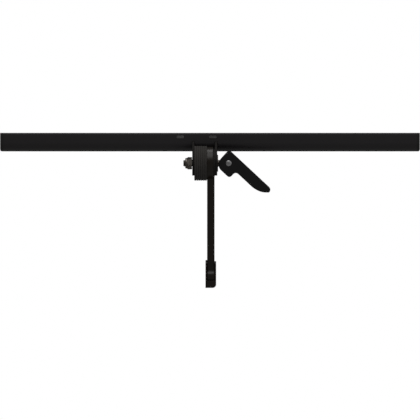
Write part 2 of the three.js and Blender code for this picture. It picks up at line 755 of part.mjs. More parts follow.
function leverOutline(inset) {
  const back = leverBack - inset;
  const end = -camOpen + inset;
  const tip = leverLength - inset;
  const side = -camClosed + inset;
  const head = leverHead - inset;
  const inner = leverInner + inset;
  const shape = new THREE.Shape();
  shape.moveTo(end, 0);
  shape.lineTo(end, back - 0.6);
  shape.lineTo(end + 0.6, back);
  shape.lineTo(tip - leverTipRadius, back);
  shape.quadraticCurveTo(tip, back, tip, back - leverTipRadius);
  shape.bezierCurveTo(tip - 3.2, 4.2, tip - 7.1, -0.3, leverStraight, inner);
  shape.lineTo(head + leverNotchRound, inner);
  shape.quadraticCurveTo(head, inner, head, inner - leverNotchRound);
  shape.lineTo(head, side + leverHeadRound);
  shape.quadraticCurveTo(head, side, head - leverHeadRound, side);
  shape.lineTo(0, side);
  const steps = 16;
  for (let i = 1; i < steps; i++) {
    const turn = Math.PI / 2 * i / steps;
    const [across, down] = [Math.sin(turn) ** (2 / camPower), Math.cos(turn) ** (2 / camPower)];
    shape.lineTo(end * across, side * down);
  }
  return shape;
}

function makeLever() {
  const half = leverWidth / 2;
  const core = alongY(leverOutline(0), -half + leverEdge, half - leverEdge);
  const whole = core.add(alongY(leverOutline(leverEdge), -half, half));
  const slotEnd = boltEyeRadius + 0.8;
  const slotHalf = boltEyeWidth / 2 + gap;
  const slot = box(-camOpen - 5, slotEnd, -slotHalf, slotHalf, -camClosed - 5, slotEnd);
  const hole = rod("y", -leverWidth, leverWidth, leverPinRadius + runningGap);
  piece(lever, "cam_lever", whole.subtract(slot).subtract(hole), finishes.blackPlastic);
  const headFrom = half + runningGap;
  const headTo = headFrom + leverPinHeadHeight;
  const dome = leverPinHeadRadius * 0.6;
  const pin = turned("y", [
    [-headTo, 0],
    [-headTo, dome],
    [-headFrom - 0.3, leverPinHeadRadius],
    [-headFrom, leverPinHeadRadius],
    [-headFrom, leverPinRadius],
    [headFrom, leverPinRadius],
    [headFrom, leverPinHeadRadius],
    [headFrom + 0.3, leverPinHeadRadius],
    [headTo, dome],
    [headTo, 0],
  ]);
  piece(lever, "lever_pin", pin, finishes.brightSteel);
}

makeFoot();
makeArm();
makeHousing();
makeEndCap("left_end_cap", barLeftX, 1);
makeEndCap("right_end_cap", barRightX, -1);
for (const [i, x] of capScrewXs.entries()) {
  piece(lamp, `end_cap_screw_${i + 1}`, moved(capScrew(0), x, capPlugMidY, 0), finishes.darkSteel);
}
makeInlet();
makeLights();
makeYoke();
makeDrum();
makeClamp();
makeLever();

export default root;
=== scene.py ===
"""The looks of a slim black picture light: a bar with an opal diffuser, a clamped tilt hinge with
a ribbed drum and a cam lever, a cast arm and a fork foot. Shapes are worked out in millimetres
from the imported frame's own boxes and joints, and kept in metres."""

import json
import math

import bmesh
import bpy
from mathutils import Matrix, Vector


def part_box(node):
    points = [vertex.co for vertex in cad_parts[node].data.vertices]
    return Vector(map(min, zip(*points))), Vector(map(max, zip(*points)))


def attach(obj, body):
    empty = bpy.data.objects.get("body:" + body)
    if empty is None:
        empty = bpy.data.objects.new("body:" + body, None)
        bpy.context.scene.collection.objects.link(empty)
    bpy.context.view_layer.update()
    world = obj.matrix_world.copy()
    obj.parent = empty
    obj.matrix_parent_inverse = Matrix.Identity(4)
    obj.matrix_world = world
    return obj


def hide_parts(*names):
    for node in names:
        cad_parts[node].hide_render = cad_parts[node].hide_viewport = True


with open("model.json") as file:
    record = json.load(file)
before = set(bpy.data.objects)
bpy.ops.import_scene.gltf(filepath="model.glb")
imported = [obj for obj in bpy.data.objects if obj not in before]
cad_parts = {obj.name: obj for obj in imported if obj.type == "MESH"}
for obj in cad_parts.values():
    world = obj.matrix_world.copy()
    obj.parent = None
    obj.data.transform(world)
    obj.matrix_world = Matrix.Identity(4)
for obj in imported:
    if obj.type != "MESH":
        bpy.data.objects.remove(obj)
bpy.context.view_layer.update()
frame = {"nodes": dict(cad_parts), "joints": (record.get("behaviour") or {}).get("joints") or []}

MM = 0.001
MERGED = 1e-8  # points closer than this, in metres, are one
ON_AXIS = 1e-6  # a smaller radius, in millimetres, is a pole
MITRE_LIMIT = 0.4  # keeps the corner of a sharp turn from running far out
CORNER_SHARE = 0.45  # the most of an edge that one rounded corner takes
EASED_ANGLE = 40  # in degrees

JOINTS = {joint["name"]: Vector(joint["pos_m"]) / MM for joint in frame["joints"]}
HINGE = JOINTS["lamp_tilt"]
FOOT_AXIS = JOINTS["arm_swing"]
LEVER_AXIS = JOINTS["lever_throw"]
HINGE_CENTRE = (0, 0, HINGE.z)
FOOT_CENTRE = (0, 0, FOOT_AXIS.z)

# ---- Shapes ----


def corners(node):
    """A CAD node's lowest and highest corner, in millimetres."""
    low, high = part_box(node)
    return low / MM, high / MM


def arc(cx, cy, radius, start, end, steps=12):
    """Points on a circle from one angle to another, in degrees."""
    angles = [math.radians(start + (end - start) * i / steps) for i in range(steps + 1)]
    return [(cx + radius * math.cos(a), cy + radius * math.sin(a)) for a in angles]


def curve(*controls, steps=12):
    """Points on a Bezier curve, from its first control to its last."""
    found = []
    for i in range(steps + 1):
        t, level = i / steps, [Vector(point) for point in controls]
        while len(level) > 1:
            level = [a * (1 - t) + b * t for a, b in zip(level, level[1:])]
        found.append(tuple(level[0]))
    return found


def inset(points, by):
    """An outline drawn anticlockwise, moved inwards with mitred corners."""
    moved = []
    for i, here in enumerate(points):
        before, after = Vector(points[i - 1]), Vector(points[(i + 1) % len(points)])
        here = Vector(here)
        first, second = (here - before).normalized(), (after - here).normalized()
        n1, n2 = Vector((-first.y, first.x)), Vector((-second.y, second.x))
        moved.append(tuple(here + (n1 + n2) / max(1 + n1.dot(n2), MITRE_LIMIT) * by))
    return moved


def along(axis, a, b, depth):
    """An outline's point at a depth along an axis: x takes (Y, Z), y takes (X, Z), z takes (X, Y)."""
    return {"x": (depth, a, b), "y": (a, depth, b), "z": (a, b, depth)}[axis]


def made(name, points, faces):
    """A mesh object from points in millimetres, with its faces turned to point out."""
    mesh = bpy.data.meshes.new(name)
    mesh.from_pydata([Vector(p) * MM for p in points], [], faces)
    build = bmesh.new()
    build.from_mesh(mesh)
    bmesh.ops.remove_doubles(build, verts=build.verts, dist=MERGED)
    bmesh.ops.recalc_face_normals(build, faces=build.faces)
    build.to_mesh(mesh)
    build.free()
    piece = bpy.data.objects.new(name, mesh)
    bpy.context.scene.collection.objects.link(piece)
    return piece


def loft(name, axis, layers):
    """A closed solid through outlines of the same number of points, each at its own depth."""
    count = len(layers[0][1])
    points = [along(axis, a, b, depth) for depth, outline in layers for a, b in outline]
    faces = [tuple(range(count)), tuple(range(len(points) - count, len(points)))]
    for row in range(len(layers) - 1):
        for i in range(count):
            j = (i + 1) % count
            low, high = row * count, (row + 1) * count
            faces.append((low + i, low + j, high + j, high + i))
    return made(name, points, faces)


def prism(name, axis, outline, low, high, edge=0.0, steps=4):
    """An outline run from low to high, with both rims rounded."""
    if not edge:
        return loft(name, axis, [(low, outline), (high, outline)])
    rims = []
    for i in range(steps + 1):
        a = math.pi / 2 * i / steps
        rims.append((edge * (1 - math.cos(a)), inset(outline, edge * (1 - math.sin(a)))))
    layers = [(low + run, points) for run, points in rims]
    layers += [(high - run, points) for run, points in reversed(rims)]
    return loft(name, axis, layers)


def turned(name, profile, axis="x", centre=(0, 0, 0), sides=96):
    """A closed profile of (place along the axis, radius) turned round it."""
    points, rings = [], []
    for run, radius in profile:
        ring = []
        for i in range(sides if radius > ON_AXIS else 1):
            angle = 2 * math.pi * i / sides
            a, b = radius * math.cos(angle), radius * math.sin(angle)
            ring.append(len(points))
            points.append(Vector(along(axis, a, b, run)) + Vector(centre))
        rings.append(ring)
    faces = []
    loop = profile[0][1] > ON_AXIS
    for i in range(len(rings) if loop else len(rings) - 1):
        one, two = rings[i], rings[(i + 1) % len(rings)]
        for j in range(sides):
            k = (j + 1) % sides
            quad = [one[j % len(one)], one[k % len(one)], two[k % len(two)], two[j % len(two)]]
            face = [v for n, v in enumerate(quad) if v not in quad[:n]]
            if len(face) > 2:
                faces.append(face)
    return made(name, points, faces)


def rod(name, axis, low, high, radius, centre=(0, 0, 0), sides=64):
    """A plain round rod from low to high."""
    return turned(name, [(low, 0), (low, radius), (high, radius), (high, 0)], axis, centre, sides)


def rounded(points, radius, steps=3):
    """A profile with its inner corners, all but the first and last, rounded off."""
    found = [points[0]]
    for before, here, after in zip(points, points[1:], points[2:]):
        here, before, after = Vector(here), Vector(before), Vector(after)
        back, forward = before - here, after - here
        reach = min(radius, back.length * CORNER_SHARE, forward.length * CORNER_SHARE)
        start = here + back.normalized() * reach
        end = here + forward.normalized() * reach
        found += curve(start, here, end, steps=steps)
    return found + [points[-1]]


def box(name, low, high):
    """A plain block from its lowest to its highest corner."""
    (x0, y0, z0), (x1, y1, z1) = low, high
    return prism(name, "z", [(x0, y0), (x1, y0), (x1, y1), (x0, y1)], z0, z1)


def plain(piece):
    """The piece with its modifiers made part of its mesh."""
    graph = bpy.context.evaluated_depsgraph_get()
    mesh = bpy.data.meshes.new_from_object(piece.evaluated_get(graph))
    piece.modifiers.clear()
    piece.data = mesh
    return piece


def shape(piece, operation, *tools):
    """Cuts, joins or trims a piece with each tool in turn, and takes the tools away."""
    for tool in tools:
        step = piece.modifiers.new("shape", "BOOLEAN")
        step.operation, step.solver, step.object = operation, "EXACT", tool
        plain(piece)
        bpy.data.objects.remove(tool)
    return piece


def cut(piece, *tools):
    """The piece with each tool taken out of it."""
    return shape(piece, "DIFFERENCE", *tools)


def join(piece, *tools):
    """The piece with each tool made part of it."""
    return shape(piece, "UNION", *tools)


def eased(piece, width):
    """Takes the sharpness off the piece's edges that turn by more than EASED_ANGLE degrees."""
    step = piece.modifiers.new("ease", "BEVEL")
    step.width, step.segments, step.limit_method = width * MM, 2, "ANGLE"
    step.angle_limit = math.radians(EASED_ANGLE)
    return plain(piece)


def fitted(piece, body, material, *nodes, slot=None, crease=32):
    """Gives a finished piece its shading, material and body, and hides the CAD nodes that it stands for."""
    mesh = piece.data
    mesh.materials.clear()
    mesh.materials.append(material)
    for face in mesh.polygons:
        face.use_smooth = True
        face.material_index = 0
    mesh.set_sharp_from_angle(angle=math.radians(crease))
    step = piece.modifiers.new("shading", "WEIGHTED_NORMAL")
    step.keep_sharp = True
    plain(piece)
    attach(piece, body)
    if nodes:
        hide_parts(*nodes)
    return piece


# ---- Materials ----

# A Mix node's sockets for colours, by number
MIX_FACTOR = 0
MIX_FIRST = 6
MIX_SECOND = 7
MIX_COLOUR = 2
# How much of each finer octave a noise takes
NOISE_ROUGHNESS = 0.55


class Value:
    """A shader socket that numbers and other sockets can be added to, taken from and so on."""

    def __init__(self, tree, socket):
        self.tree, self.socket = tree, socket

    def math(self, operation, *others):
        return add(self.tree, "ShaderNodeMath", {"operation": operation}, self, *others)

    def __add__(self, other):
        return self.math("ADD", other)

    def __sub__(self, other):
        return self.math("SUBTRACT", other)

    def __mul__(self, other):
        return self.math("MULTIPLY", other)

    def __rsub__(self, other):
        return self.math("MULTIPLY_ADD", -1.0, other)

    __radd__, __rmul__ = __add__, __mul__

    def ramp(self, low, high):
        """0 below low, 1 above high, and smooth between them."""
        settings = {"interpolation_type": "SMOOTHSTEP"}
        return add(self.tree, "ShaderNodeMapRange", settings, self, low, high, 0.0, 1.0)


def add(tree, kind, settings, *inputs, at=None, output=0, **named):
    """One node with its settings, and the values or links of its sockets, in order, at a number or
    by name."""
    node = tree.nodes.new(kind)
    for key, value in settings.items():
        setattr(node, key, value)
    for key, value in [*enumerate(inputs), *(at or {}).items(), *named.items()]:
        socket = node.inputs[key if isinstance(key, int) else key.replace("_", " ")]
        if isinstance(value, Value):
            tree.links.new(value.socket, socket)
        else:
            socket.default_value = value
    return Value(tree, node.outputs[output]) if output is not None else node


class Finish:
    """A material with one principled shader, and helpers for patterns on Object coordinates."""

    def __init__(self, name, metallic=0.0, specular=0.5):
        self.material = bpy.data.materials.new(name)
        self.material.use_nodes = True
        self.tree = self.material.node_tree
        self.shader = self.tree.nodes["Principled BSDF"]
        self.shader.inputs["Metallic"].default_value = metallic
        self.shader.inputs["Specular IOR Level"].default_value = specular
        self.place = add(self.tree, "ShaderNodeTexCoord", {}, output="Object")

    def scaled(self, x=1.0, y=1.0, z=1.0):
        """Object coordinates in millimetres, stretched by a factor each way."""
        factors = Vector((x, y, z)) / MM
        return add(self.tree, "ShaderNodeMapping", {}, Vector=self.place, Scale=factors)

    def noise(self, size, where=None, detail=3.0):
        """Noise from 0 to 1 with lumps of about a size in millimetres."""
        where = where or self.scaled()
        return add(self.tree, "ShaderNodeTexNoise", {}, Vector=where, Scale=1 / size, Detail=detail,
                   Roughness=NOISE_ROUGHNESS)

    def blend(self, factor, one, two):
        """A colour between two others, by a factor from 0 to 1."""
        ends = {MIX_FACTOR: factor, MIX_FIRST: one, MIX_SECOND: two}
        return add(self.tree, "ShaderNodeMix", {"data_type": "RGBA"}, at=ends, output=MIX_COLOUR)

    def sets(self, **sockets):
        """Lets values that vary over the surface feed the shader's sockets."""
        for key, value in sockets.items():
            self.tree.links.new(value.socket, self.shader.inputs[key.replace("_", " ")])

    def bumps(self, height, depth):
        """Height from 0 to 1 as relief of a depth in millimetres."""
        bump = add(self.tree, "ShaderNodeBump", {}, Strength=1, Distance=depth * MM, Height=height)
        self.sets(Normal=bump)


def grey(level, warmth=0.0):
    """A nearly neutral colour, warmer above 0 and cooler below."""
    return (level * (1 + warmth), level, level * (1 - warmth), 1.0)


def anodised():
    """Black anodised extrusion: satin, with faint draw lines along its length."""
    finish = Finish("black_anodised_aluminium", specular=0.34)
    lines = finish.noise(1.0, finish.scaled(0.004, 2.2, 2.2), detail=4)
    mottle = finish.noise(9.0)
    dust = finish.noise(0.5, detail=1).ramp(0.70, 0.80)
    dark, light = (0.0070, 0.0056, 0.0065, 1), (0.0094, 0.0078, 0.0089, 1)
    tone = finish.blend(lines * 0.5 + mottle * 0.5, dark, light)
    finish.sets(Base_Color=finish.blend(dust * 0.25, tone, grey(0.05)))
    finish.sets(Roughness=lines * 0.16 + mottle * 0.10 + 0.36)
    finish.bumps(lines * 0.7 + finish.noise(0.22) * 0.3, 0.012)
    return finish.material


def powder_coat(name="black_powder_coat", level=0.0038, warmth=0.95, roughness=0.31, specular=0.28):
    """Black powder coat with its fine orange peel."""
    finish = Finish(name, specular=specular)
    peel = finish.noise(0.55, detail=2)
    patches = finish.noise(7.0)
    worn = (peel * 0.35 + patches * 0.65).ramp(0.58, 0.78)
    low, high = grey(level * 0.8, warmth), grey(level * 1.35, warmth)
    finish.sets(Base_Color=finish.blend(worn, low, high))
    finish.sets(Roughness=peel * 0.14 + patches * 0.12 + (roughness - 0.12))
    finish.bumps(peel, 0.05)
    return finish.material


def moulded(name, level, roughness=0.5, warmth=0.0, specular=0.4):
    """Moulded plastic with a spark-eroded grain and lightly rubbed patches."""
    finish = Finish(name, specular=specular)
    grain = finish.noise(0.28, detail=2)
    rubbed = finish.noise(6.0, finish.scaled(1.0, 0.6, 1.0)).ramp(0.5, 0.72)
    finish.sets(Base_Color=finish.blend(rubbed, grey(level, warmth), grey(level * 1.4, warmth)))
    finish.sets(Roughness=grain * 0.18 - rubbed * 0.10 + roughness)
    finish.bumps(grain, 0.03)
    return finish.material


def rubber():
    """Matte dark rubber, a little dusty, with fine marks round its rim."""
    finish = Finish("ribbed_rubber", specular=0.14)
    marks = finish.noise(1.0, finish.scaled(3.0, 0.12, 0.12), detail=3)
    dust = finish.noise(1.6, detail=5)
    dark, light = grey(0.019, 0.07), grey(0.054, 0.08)
    finish.sets(Base_Color=finish.blend(marks * 0.55 + dust * 0.45, dark, light))
    finish.sets(Roughness=dust * 0.15 + 0.76)
    finish.bumps(dust * 0.6 + marks * 0.4, 0.05)
    return finish.material


def plated(name, level, warmth, roughness, mottled=0.35):
    """Plated or turned steel, with turning marks across its axis and slight staining."""
    finish = Finish(name, metallic=1.0)
    stain = finish.noise(2.2, detail=4)
    turning = finish.noise(1.0, finish.scaled(6.0, 0.5, 0.5), detail=2)
    dark, light = grey(level * (1 - mottled), warmth * 1.8), grey(level, warmth)
    finish.sets(Base_Color=finish.blend(stain.ramp(0.32, 0.62), dark, light))
    finish.sets(Roughness=turning * 0.14 + stain * 0.10 + (roughness - 0.12))
    finish.bumps(turning, 0.01)
    return finish.material


def bronze():
    """Porous sintered bronze."""
    finish = Finish("sintered_bronze", metallic=1.0)
    pores = finish.noise(0.3, detail=1).ramp(0.62, 0.7)
    finish.sets(Base_Color=finish.blend(pores, (0.45, 0.26, 0.11, 1), (0.10, 0.05, 0.02, 1)))
    finish.sets(Roughness=pores * 0.4 + 0.35)
    return finish.material


def opal():
    """Opal diffuser sheet, faintly streaked from its extrusion."""
    finish = Finish("opal_diffuser", specular=0.5)
    streaks = finish.noise(1.0, finish.scaled(0.01, 1.0, 0.8), detail=2)
    finish.sets(Base_Color=finish.blend(streaks, (0.80, 0.79, 0.75, 1), (0.87, 0.86, 0.83, 1)))
    finish.sets(Roughness=finish.noise(0.4) * 0.12 + 0.36)
    finish.bumps(streaks, 0.01)
    return finish.material


def tinted(name, one, two, roughness, metallic=0.0):
    """A plain coloured finish that varies a little, for the pieces inside."""
    finish = Finish(name, metallic=metallic)
    spread = finish.noise(1.2)
    finish.sets(Base_Color=finish.blend(spread, (*one, 1), (*two, 1)))
    finish.sets(Roughness=spread * 0.15 + (roughness - 0.08))
    finish.bumps(spread, 0.01)
    return finish.material


ANODISED = anodised()
COAT = powder_coat()
YOKE_COAT = powder_coat("yoke_powder_coat", level=0.014, warmth=0.10, roughness=0.60, specular=0.09)
CAP_PLASTIC = moulded("end_cap_plastic", 0.007, roughness=0.46, specular=0.26)
LEVER_PLASTIC = moulded("lever_plastic", 0.0038, roughness=0.38, specular=0.22)
PLUG_PLASTIC = moulded("plug_plastic", 0.060, roughness=0.5, warmth=0.02)
INLET_PLASTIC = moulded("inlet_plastic", 0.012, roughness=0.38)
RUBBER = rubber()
ZINC = plated("zinc_plate", 0.12, 0.10, 0.40, mottled=0.5)
BRIGHT = plated("turned_steel", 0.30, 0.0, 0.34, mottled=0.2)
DARK_STEEL = plated("blackened_steel", 0.05, 0.08, 0.38)
FRICTION = moulded("friction_disc", 0.020, roughness=0.75, warmth=0.1, specular=0.14)
BRONZE = bronze()
OPAL = opal()
NYLON = tinted("nylon", (0.05, 0.10, 0.22), (0.09, 0.16, 0.30), 0.5)
BOARD = tinted("white_solder_mask", (0.72, 0.72, 0.69), (0.80, 0.80, 0.77), 0.4)
CIRCUIT = tinted("green_solder_mask", (0.01, 0.08, 0.03), (0.02, 0.13, 0.05), 0.4)
PHOSPHOR = tinted("led_phosphor", (0.78, 0.58, 0.16), (0.86, 0.68, 0.25), 0.3)
COPPER = tinted("enamelled_copper", (0.30, 0.09, 0.03), (0.46, 0.18, 0.07), 0.35, metallic=0.8)
RED_SLEEVE = tinted("red_wire_sleeve", (0.36, 0.02, 0.015), (0.48, 0.04, 0.025), 0.45)
BLACK_SLEEVE = tinted("black_wire_sleeve", (0.010, 0.010, 0.010), (0.02, 0.02, 0.02), 0.45)

# ---- Bar ----

HOUSING_LOW, HOUSING_HIGH = corners("bar_housing")
BAR_LEFT = corners("left_end_cap")[0].x
BAR_RIGHT = corners("right_end_cap")[1].x
FRONT, BACK = HOUSING_LOW.y, HOUSING_HIGH.y
BOTTOM, TOP = HOUSING_LOW.z, HOUSING_HIGH.z
CLEARANCE = 0.3
WALL = 1.8
NOSE = 10.0
TOP_ROUND = 1.9
BACK_ROUND = 1.5
LIP = 0.8
LIP_REACH = 2.9
GROOVE_REACH = 0.9
STOP_REACH = 1.2
STOP_WIDTH = 1
RAIL_REACH = 2.5
RAIL_WIDTH = 1.7
PLUG_HALF_HEIGHT = 1.6
PLUG_END = 1.75
PLUG_LIP = 0.5
CAP_SCREW_RADIUS = 1.3
INLET_RADIUS = 3.8
INLET_FLANGE = 1.6


def bar_outline(by=0.0, lift=0.0):
    """The bar's section in (Y, Z), inset all round, and with its bottom lifted as well."""
    front, back = FRONT + by, BACK - by
    top, bottom = TOP - by, BOTTOM + by + lift
    nose, crown = max(NOSE - by - lift * 0.5, 1), TOP_ROUND - min(by, 1)
    heel = BACK_ROUND - min(by, 1)
    outline = arc(front + nose, bottom + nose, nose, 180, 270, 20)
    outline += arc(back - heel, bottom + heel, heel, -90, 0, 6)
    outline += arc(back - heel, top - heel, heel, 0, 90, 6)
    return outline + arc(front + crown, top - crown, crown, 90, 180, 8)


def bar_section():
    """The open section in (Y, Z): outside, then in over the lips, grooves and rails."""
    heel, inner = BACK_ROUND, NOSE - WALL
    outside = arc(BACK - heel, TOP - heel, heel, 0, 90, 6)
    outside += arc(FRONT + TOP_ROUND, TOP - TOP_ROUND, TOP_ROUND, 90, 180, 8)
    outside += arc(FRONT + NOSE, BOTTOM + NOSE, NOSE, 180, 270, 20)
    outside += arc(BACK - heel, BOTTOM + heel, heel, -90, 0, 6)
    diffuser_front = corners("diffuser")[0].y - CLEARANCE
    board_back = corners("led_board")[1].y + CLEARANCE
    rail = corners("led_board")[0].y - CLEARANCE
    steps = [
        (BACK, LIP_REACH),
        (BACK - LIP, LIP_REACH),
        (BACK - LIP, WALL - GROOVE_REACH),
        (diffuser_front, WALL - GROOVE_REACH),
        (diffuser_front, WALL),
        (board_back + STOP_WIDTH, WALL),
        (board_back + STOP_WIDTH, WALL + STOP_REACH),
        (board_back, WALL + STOP_REACH),
        (board_back, WALL),
        (rail, WALL),
        (rail, WALL + RAIL_REACH),
        (rail - RAIL_WIDTH, WALL + RAIL_REACH),
        (rail - RAIL_WIDTH, WALL),
    ]
    low = [(y, BOTTOM + up) for y, up in steps]
    high = [(y, TOP - up) for y, up in reversed(steps)]
    curved = arc(FRONT + NOSE, BOTTOM + NOSE, inner, 270, 180, 16)
    return outside + low + curved + [(FRONT + WALL, TOP - WALL)] + high


def stadium(node, grow=0.0):
    """The rounded slot outline in (X, Z) of a plug."""
    low, high = corners(node)
    half = PLUG_HALF_HEIGHT + grow
    mid, run = (low.z + high.z) / 2, (high.x - low.x) / 2 - PLUG_LIP - PLUG_END
    x = (low.x + high.x) / 2
    return arc(x + run, mid, half, -90, 90, 12) + arc(x - run, mid, half, 90, 270, 12)


YOKE_PLATE_OVERHANG = 14
YOKE_PLATE_RISE = 22.4
CHEEKS = [
    (corners("yoke_bracket")[0].x + YOKE_PLATE_OVERHANG, corners("hinge_drum")[0].x - CLEARANCE),
    (corners("arm")[1].x + CLEARANCE, corners("cam_washer")[0].x - 0.1),
]
CHEEK_RADIUS = HINGE.z - corners("yoke_bracket")[0].z
BRACKET_HOLE = 1.65


def cheek_outline(grow=0.0):
    """Round at the hinge, straight to the plate inside the bar."""
    y = corners("yoke_bracket")[1].y + grow
    radius = CHEEK_RADIUS + grow
    top = corners("yoke_bracket")[1].z + grow - HINGE.z
    bottom = YOKE_PLATE_RISE - grow

    def tangent(z, side):
        """Where a line from the plate at this height touches the round, in degrees."""
        return math.degrees(math.atan2(z, y) + side * math.acos(radius / math.hypot(y, z)))

    outline = arc(0, HINGE.z, radius, tangent(top, 1), tangent(bottom, -1) + 360, 48)
    return outline + [(y, HINGE.z + bottom), (y, HINGE.z + top)]


def bracket_screws():
    """Where the axes of the two screws lie that hold the yoke's plate to the bar's front wall."""
    found = []
    for number in (1, 2):
        low, high = corners(f"bracket_screw_{number}")
        found.append(((low.x + high.x) / 2, 0, (low.z + high.z) / 2))
    return found


def make_bar():
    """The extrusion, with its plug and cheek slots, and its blind and countersunk screw holes."""
    bar = prism("bar_extrusion", "x", bar_section(), HOUSING_LOW.x, HOUSING_HIGH.x)
    for plug in ("slot_plug_1", "slot_plug_2"):
        cut(bar, prism("slot", "y", stadium(plug, 0.15), FRONT - 1, FRONT + WALL + 0.5))
    for low, high in CHEEKS:
        cut(bar, prism("slot", "x", cheek_outline(CLEARANCE), low - CLEARANCE, high + CLEARANCE))
    tip = corners("bracket_screw_1")[0].y
    for place in bracket_screws():
        cut(bar, rod("hole", "y", tip - 0.1, FRONT + WALL + 1, BRACKET_HOLE, place, 32))
    for number in (1, 2, 3, 4):
        low, high = corners(f"end_cap_screw_{number}")
        middle = (low + high) / 2
        hole, seat = CAP_SCREW_RADIUS, 2.25
        cone = [(TOP - 3, 0), (TOP - 3, hole), (TOP - 1.15, hole)]
        cone += [(TOP - 0.05, seat), (TOP + 1, seat), (TOP + 1, 0)]
        cut(bar, turned("seat", cone, "z", (middle.x, middle.y, 0), 40))
    fitted(bar, "lamp", ANODISED, "bar_housing", slot="black_aluminium")


def make_plug(number):
    """A plug with a rounded, hollowed face and a lip behind the bar's wall."""
    node = f"slot_plug_{number}"
    low, high = corners(node)
    lip_front, lip_grow, recess_rim, recess_depth = FRONT + WALL + 0.1, 0.6, 0.85, 0.25
    plug = prism("plug_" + str(number), "y", stadium(node), low.y, lip_front, edge=0.35)
    lip = prism("lip", "y", stadium(node, lip_grow), lip_front, high.y)
    recess = prism("recess", "y", inset(stadium(node), recess_rim), low.y - 1, low.y + recess_depth)
    fitted(cut(join(plug, lip), recess), "lamp", PLUG_PLASTIC, node, slot="grey_plastic")


def make_end_cap(side):
    """A cap with a rounded outer rim and a plug that fits the bar: side is -1 for the left one and 1
    for the right one, which has the inlet's pocket."""
    node = "left_end_cap" if side < 0 else "right_end_cap"
    outer = BAR_LEFT if side < 0 else BAR_RIGHT
    inner = HOUSING_LOW.x if side < 0 else HOUSING_HIGH.x
    corner, rim = 2.7, 0.5
    depths = [corner * (1 - math.cos(math.radians(a))) for a in range(0, 91, 9)]
    layers = []
    for depth in depths:
        lift = corner - math.sqrt(max(corner**2 - (corner - depth) ** 2, 0))
        by = rim - math.sqrt(rim**2 - (rim - depth) ** 2) if depth < rim else 0.0
        layers.append((outer - side * depth, bar_outline(by, lift)))
    layers.append((inner, bar_outline()))
    cap = loft("cap_" + ("left" if side < 0 else "right"), "x", layers)
    low, high = corners(node)
    reach = high.x if side < 0 else low.x
    ends = sorted((inner, reach))
    front, back = FRONT + WALL + CLEARANCE, corners("led_board")[0].y - RAIL_WIDTH - 2 * CLEARANCE
    bottom, top = BOTTOM + 6.5, TOP - WALL - 1.5
    join(cap, box("plug", (ends[0], front, bottom), (ends[1], back, top)))
    for number in (1, 2) if side < 0 else (3, 4):
        low, high = corners(f"end_cap_screw_{number}")
        middle = (low + high) / 2
        cut(cap, rod("hole", "z", low.z - 0.2, TOP + 1, CAP_SCREW_RADIUS, (middle.x, middle.y, 0), 32))
    if side > 0:
        low, high = corners("dc_inlet")
        middle = (low + high) / 2
        gap = 0.15
        flange, body = (high.y - low.y) / 2 + gap, INLET_RADIUS + gap
        shoulder = high.x - INLET_FLANGE - gap
        hole = [(reach - 1, 0), (reach - 1, body), (shoulder, body), (shoulder, flange)]
        hole += [(BAR_RIGHT + 1, flange), (BAR_RIGHT + 1, 0)]
        cut(cap, turned("pocket", hole, "x", (0, middle.y, middle.z), 64))
    fitted(cap, "lamp", CAP_PLASTIC, node, slot="black_plastic")


def make_inlet():
    """A round socket with a flange and a centre contact."""
    low, high = corners("dc_inlet")
    middle = (low + high) / 2
    flange, body, socket, depth = (high.y - low.y) / 2, INLET_RADIUS, 2.8, 9
    mouth = high.x
    shoulder, floor = mouth - INLET_FLANGE, mouth - depth
    profile = rounded([
        (low.x, 0),
        (low.x, body),
        (shoulder, body),
        (shoulder, flange),
        (mouth, flange),
        (mouth, socket + 0.3),
        (mouth - 0.5, socket),
        (floor, socket),
        (floor, 0),
    ], 0.25)
    inlet = turned("power_inlet", profile, "x", (0, middle.y, middle.z), 64)
    contact = [(floor - 0.2, 0), (floor - 0.2, 1), (mouth - 1.2, 1), (mouth - 0.6, 0.5), (mouth - 0.5, 0)]
    join(inlet, turned("contact", contact, "x", (0, middle.y, middle.z), 32))
    fitted(inlet, "lamp", INLET_PLASTIC, "dc_inlet", slot="black_plastic")


# ---- What repeats, as node trees ----

BOLT_RADIUS = 4.0
BOLT_BORE = 4.3
PIN_BORE = 3.15
WASHER_GAP = 0.15  # between a friction washer and its neighbours in the CAD


class Tree:
    """A geometry node tree with named inputs, built by one method."""

    def __init__(self, name, **sizes):
        self.group = bpy.data.node_groups.new(name, "GeometryNodeTree")
        face = self.group.interface
        self.sizes = sizes
        for key, value in sizes.items():
            kind = "NodeSocketInt" if isinstance(value, int) else "NodeSocketFloat"
            if isinstance(value, (tuple, Vector)):
                kind = "NodeSocketVector"
            if isinstance(value, bpy.types.Object):
                kind = "NodeSocketObject"
            face.new_socket(key, in_out="INPUT", socket_type=kind)
        face.new_socket("Geometry", in_out="OUTPUT", socket_type="NodeSocketGeometry")
        self.entry = self.group.nodes.new("NodeGroupInput")

    def given(self, key):
        """One of the tree's named inputs."""
        return self.entry.outputs[key]

    def node(self, kind, settings=None, output=0, **inputs):
        """One node with its settings, and the values or links of its sockets by name."""
        node = self.group.nodes.new(kind)
        for key, value in (settings or {}).items():
            setattr(node, key, value)
        for key, value in inputs.items():
            socket = node.inputs[key.replace("_", " ")]
            if isinstance(value, bpy.types.NodeSocket):
                self.group.links.new(value, socket)
            else:
                socket.default_value = value
        return node.outputs[output]

    def piece(self, name, geometry, material):
        """Ends the tree, runs it on an empty mesh and gives back the plain result."""
        real = self.node("GeometryNodeRealizeInstances", Geometry=geometry)
        last = self.node("GeometryNodeSetMaterial", Geometry=real, Material=material)
        leave = self.group.nodes.new("NodeGroupOutput")
        self.group.links.new(last, leave.inputs["Geometry"])
        host = bpy.data.objects.new(name, bpy.data.meshes.new(name))
        bpy.context.scene.collection.objects.link(host)
        step = host.modifiers.new("grow", "NODES")
        step.node_group = self.group
        for item in self.group.interface.items_tree:
            if item.in_out == "INPUT" and item.name in self.sizes:
                step[item.identifier] = self.sizes[item.name]
        return plain(host)


